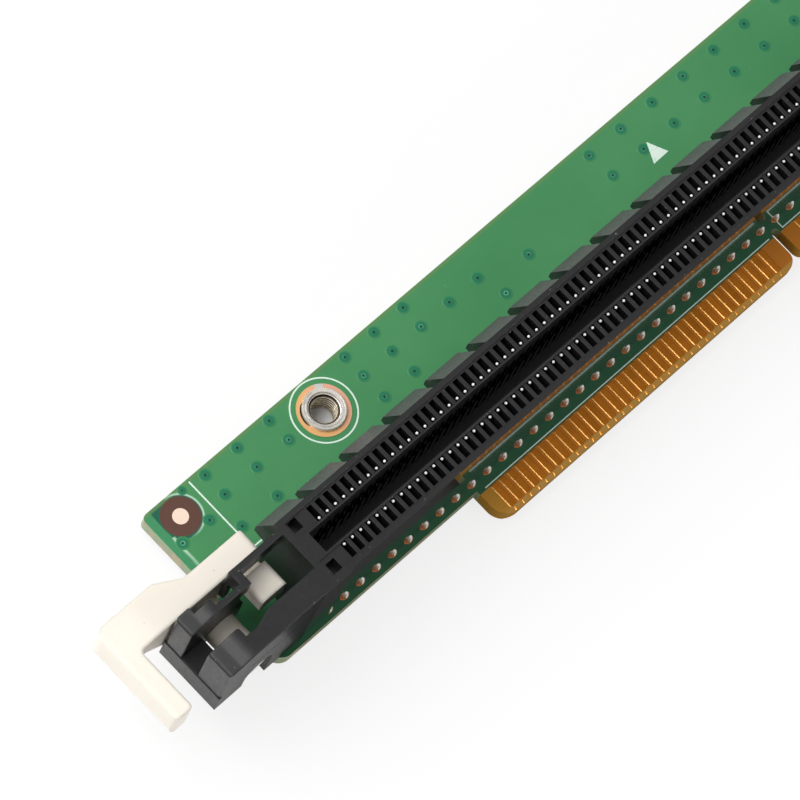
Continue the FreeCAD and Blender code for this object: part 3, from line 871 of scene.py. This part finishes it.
def vias():
    """Masked vias: a soft halo, a low lip and a closed hole."""
    mesh = bmesh.new()
    layer = mesh.verts.layers.float.new("ring")
    rings = [
        # radius and height in mm, and how far into the via this is
        (0.66, -0.004, 0.0),
        (0.65, 0.003, 0.0),
        (0.56, 0.004, 0.4),
        (0.42, 0.005, 1.0),
        (0.27, 0.007, 1.3),
        (0.21, 0.022, 2.0),
        (0.16, 0.020, 2.2),
        (0.11, 0.004, 2.7),
        (0.00, 0.001, 3.0),
    ]
    widest = rings[0][0] * MM
    for y, first, pitch, count in VIA_ROWS:
        room = BOARD_HIGH.y - y * MM - 0.03 * MM
        share = min(1.0, room / widest)
        for i in range(count):
            centre = ((first + pitch * i) * MM, y * MM)
            profile = [(r * MM * share, FRONT + z * MM) for r, z, _ in rings]
            made = add_turned(mesh, centre, profile, 24)
            for verts, (_, _, value) in zip(made, rings):
                for vert in verts:
                    vert[layer] = value
    piece("masked_vias", mesh, VIA, "root")


def wall_lines():
    """The moulded line and its small gate mark on the latch frame's near wall."""
    mesh = bmesh.new()
    proud = FRAME_WALL_Y - 0.004 * MM
    back = FRAME_WALL_Y + 0.05 * MM
    half = 0.04 * MM
    left, left_z = -83.8 * MM, 7.6 * MM
    right, right_z = -74.8 * MM, 6.9 * MM
    section = [(left, left_z - half), (right, right_z - half),
               (right, right_z + half), (left, left_z + half)]
    add_between(mesh, [(x, back, z) for x, z in section], [(x, proud, z) for x, z in section])
    radius = 0.12 * MM
    dot = [(left + radius * math.cos(a), left_z + radius * math.sin(a))
           for a in (math.pi * k / 6 for k in range(12))]
    add_between(mesh, [(x, back, z) for x, z in dot], [(x, proud, z) for x, z in dot])
    piece("frame_wall_line", mesh, DARK, "root")


def target_ring():
    """The bare laminate circle round the alignment target."""
    mesh = bmesh.new()
    inner = (TARGET_HIGH.x - TARGET_LOW.x) / 2 * 0.9
    outer = TARGET_CLEAR
    top = FRONT + 0.012 * MM
    ring = [(inner, FRONT), (outer, FRONT), (outer, top), (inner, top)]
    add_turned(mesh, (TARGET_X, TARGET_Y), ring, 64, closed=True, smooth=False)
    piece("target_clearance", mesh, BARE, "root")


silk_print()
vias()
target_ring()
wall_lines()


# ---------------------------------------------------------------- CAD nodes that stay
def dress(node, material):
    """Give a carried-over CAD node its material."""
    thing = frame["nodes"][node]
    thing.data.materials.clear()
    thing.data.materials.append(material)


dress("circuit_board", BOARD)
dress("slot_housing", BLACK)
dress("latch_lever", WHITE)
dress("alignment_target", TINNED)
dress("insert_pad_front", RING)
dress("insert_pad_back", RING)
for row_name in LEAD_ROWS:
    dress("contacts_" + row_name, CONTACT)


# ---------------------------------------------------------------- studio
FLOOR_GREY = (0.93, 0.93, 0.93, 1.0)
FLOOR_LIGHT = (0.95, 0.95, 0.95, 1.0)
# painted reflection: the floor is dark only where the polished near wall reflects it
FLOOR_REFLECTION_SHADE = (0.08, 0.08, 0.08, 1.0)      # the floor as the polished near wall mirrors it
FLOOR_GLOW = 0.78                             # how far the shadow on the floor is paled
INSERT_SHADE = 2.5 * MM                       # within this of the insert the shadow stays
WORLD_STRENGTH = 0.46
CAMERA_SENSOR = 36.0                          # mm
CAMERA_LENS = 243.27                          # mm
CAMERA_PLACE = (-0.24108, -0.05826, 0.43642)
CAMERA_TURN = (21.7369, -11.3962, -44.6125)   # degrees about X, Y and Z


def pale_floor():
    """A wide pale floor: its shadow is paled where seen directly, and painted dark where the
    polished near wall reflects it.
    """
    size = 3.0
    mesh = bmesh.new()
    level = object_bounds()[0][2]
    corners = [(-size, -size), (size, -size), (size, size), (-size, size)]
    mesh.faces.new([mesh.verts.new((x, y, level)) for x, y in corners])
    data = bpy.data.meshes.new("floor")
    mesh.to_mesh(data)
    mesh.free()
    floor = bpy.data.objects.new("floor", data)
    bpy.context.scene.collection.objects.link(floor)
    shader = Shader("floor")
    seen = shader.nodes.new("ShaderNodeLightPath").outputs
    place = shader.position()
    tone = shader.mix(shader.noise(3.0), FLOOR_GREY, FLOOR_LIGHT)
    before_wall = shader.math("LESS_THAN", place["Y"], WALL_Y)
    beside_slot = shader.math("GREATER_THAN", place["X"], FRAME_END)
    facing_wall = shader.math("MULTIPLY", before_wall, beside_slot)
    # painted reflection: glossy rays from the near wall see the floor in front of the slot dark
    reflection_shade = shader.math("MULTIPLY", facing_wall, seen["Is Glossy Ray"])
    tone = shader.mix(reflection_shade, tone, FLOOR_REFLECTION_SHADE)
    shader.set(Base_Color=tone, Roughness=0.9)
    glow = shader.nodes.new("ShaderNodeEmission")
    blend = shader.nodes.new("ShaderNodeMixShader")
    direct = shader.math("MAXIMUM", seen["Is Camera Ray"], seen["Is Transmission Ray"])
    from_insert = shader.distance(INSERT_X, INSERT_Y)
    open_floor = shader.math("GREATER_THAN", from_insert, INSERT_SHADE)
    paled = shader.math("MULTIPLY", open_floor, FLOOR_GLOW)
    shader.put(shader.math("MULTIPLY", direct, paled), blend.inputs[0])
    shader.links.new(shader.surface.outputs[0], blend.inputs[1])
    shader.links.new(glow.outputs[0], blend.inputs[2])
    shader.links.new(blend.outputs[0], shader.nodes["Material Output"].inputs["Surface"])
    data.materials.append(shader.material)


def lamp(name, place, target, size, power):
    """A square soft lamp that points at a target."""
    data = bpy.data.lights.new(name, "AREA")
    data.size = size
    data.energy = power
    thing = bpy.data.objects.new(name, data)
    thing.location = place
    thing.rotation_euler = (Vector(target) - Vector(place)).to_track_quat("-Z", "Y").to_euler()
    bpy.context.scene.collection.objects.link(thing)


def world():
    """Even soft light from all round."""
    studio = bpy.data.worlds.new("studio")
    studio.use_nodes = True
    background = studio.node_tree.nodes["Background"]
    background.inputs["Color"].default_value = (1.0, 1.0, 1.0, 1.0)
    background.inputs["Strength"].default_value = WORLD_STRENGTH
    bpy.context.scene.world = studio


def camera():
    """The viewpoint: high over the latch end, looking along the slot."""
    data = bpy.data.cameras.new("camera")
    data.sensor_width = CAMERA_SENSOR
    data.lens = CAMERA_LENS
    data.clip_start = 0.01
    thing = bpy.data.objects.new("camera", data)
    thing.location = CAMERA_PLACE
    thing.rotation_euler = Euler([math.radians(a) for a in CAMERA_TURN], "XYZ")
    bpy.context.scene.collection.objects.link(thing)
    bpy.context.scene.camera = thing


pale_floor()
lamp("key", (-0.30, 0.34, 0.52), (-0.04, 0.0, 0.0), 0.55, 3.9)
lamp("fill", (0.18, -0.60, 0.30), (-0.03, 0.0, 0.0), 0.22, 1.0)
lamp("edge", (-0.42, 0.10, 0.44), (-0.03, -0.01, 0.0), 0.12, 0.16)
world()
camera()
bpy.context.scene.view_settings.view_transform = "Standard"
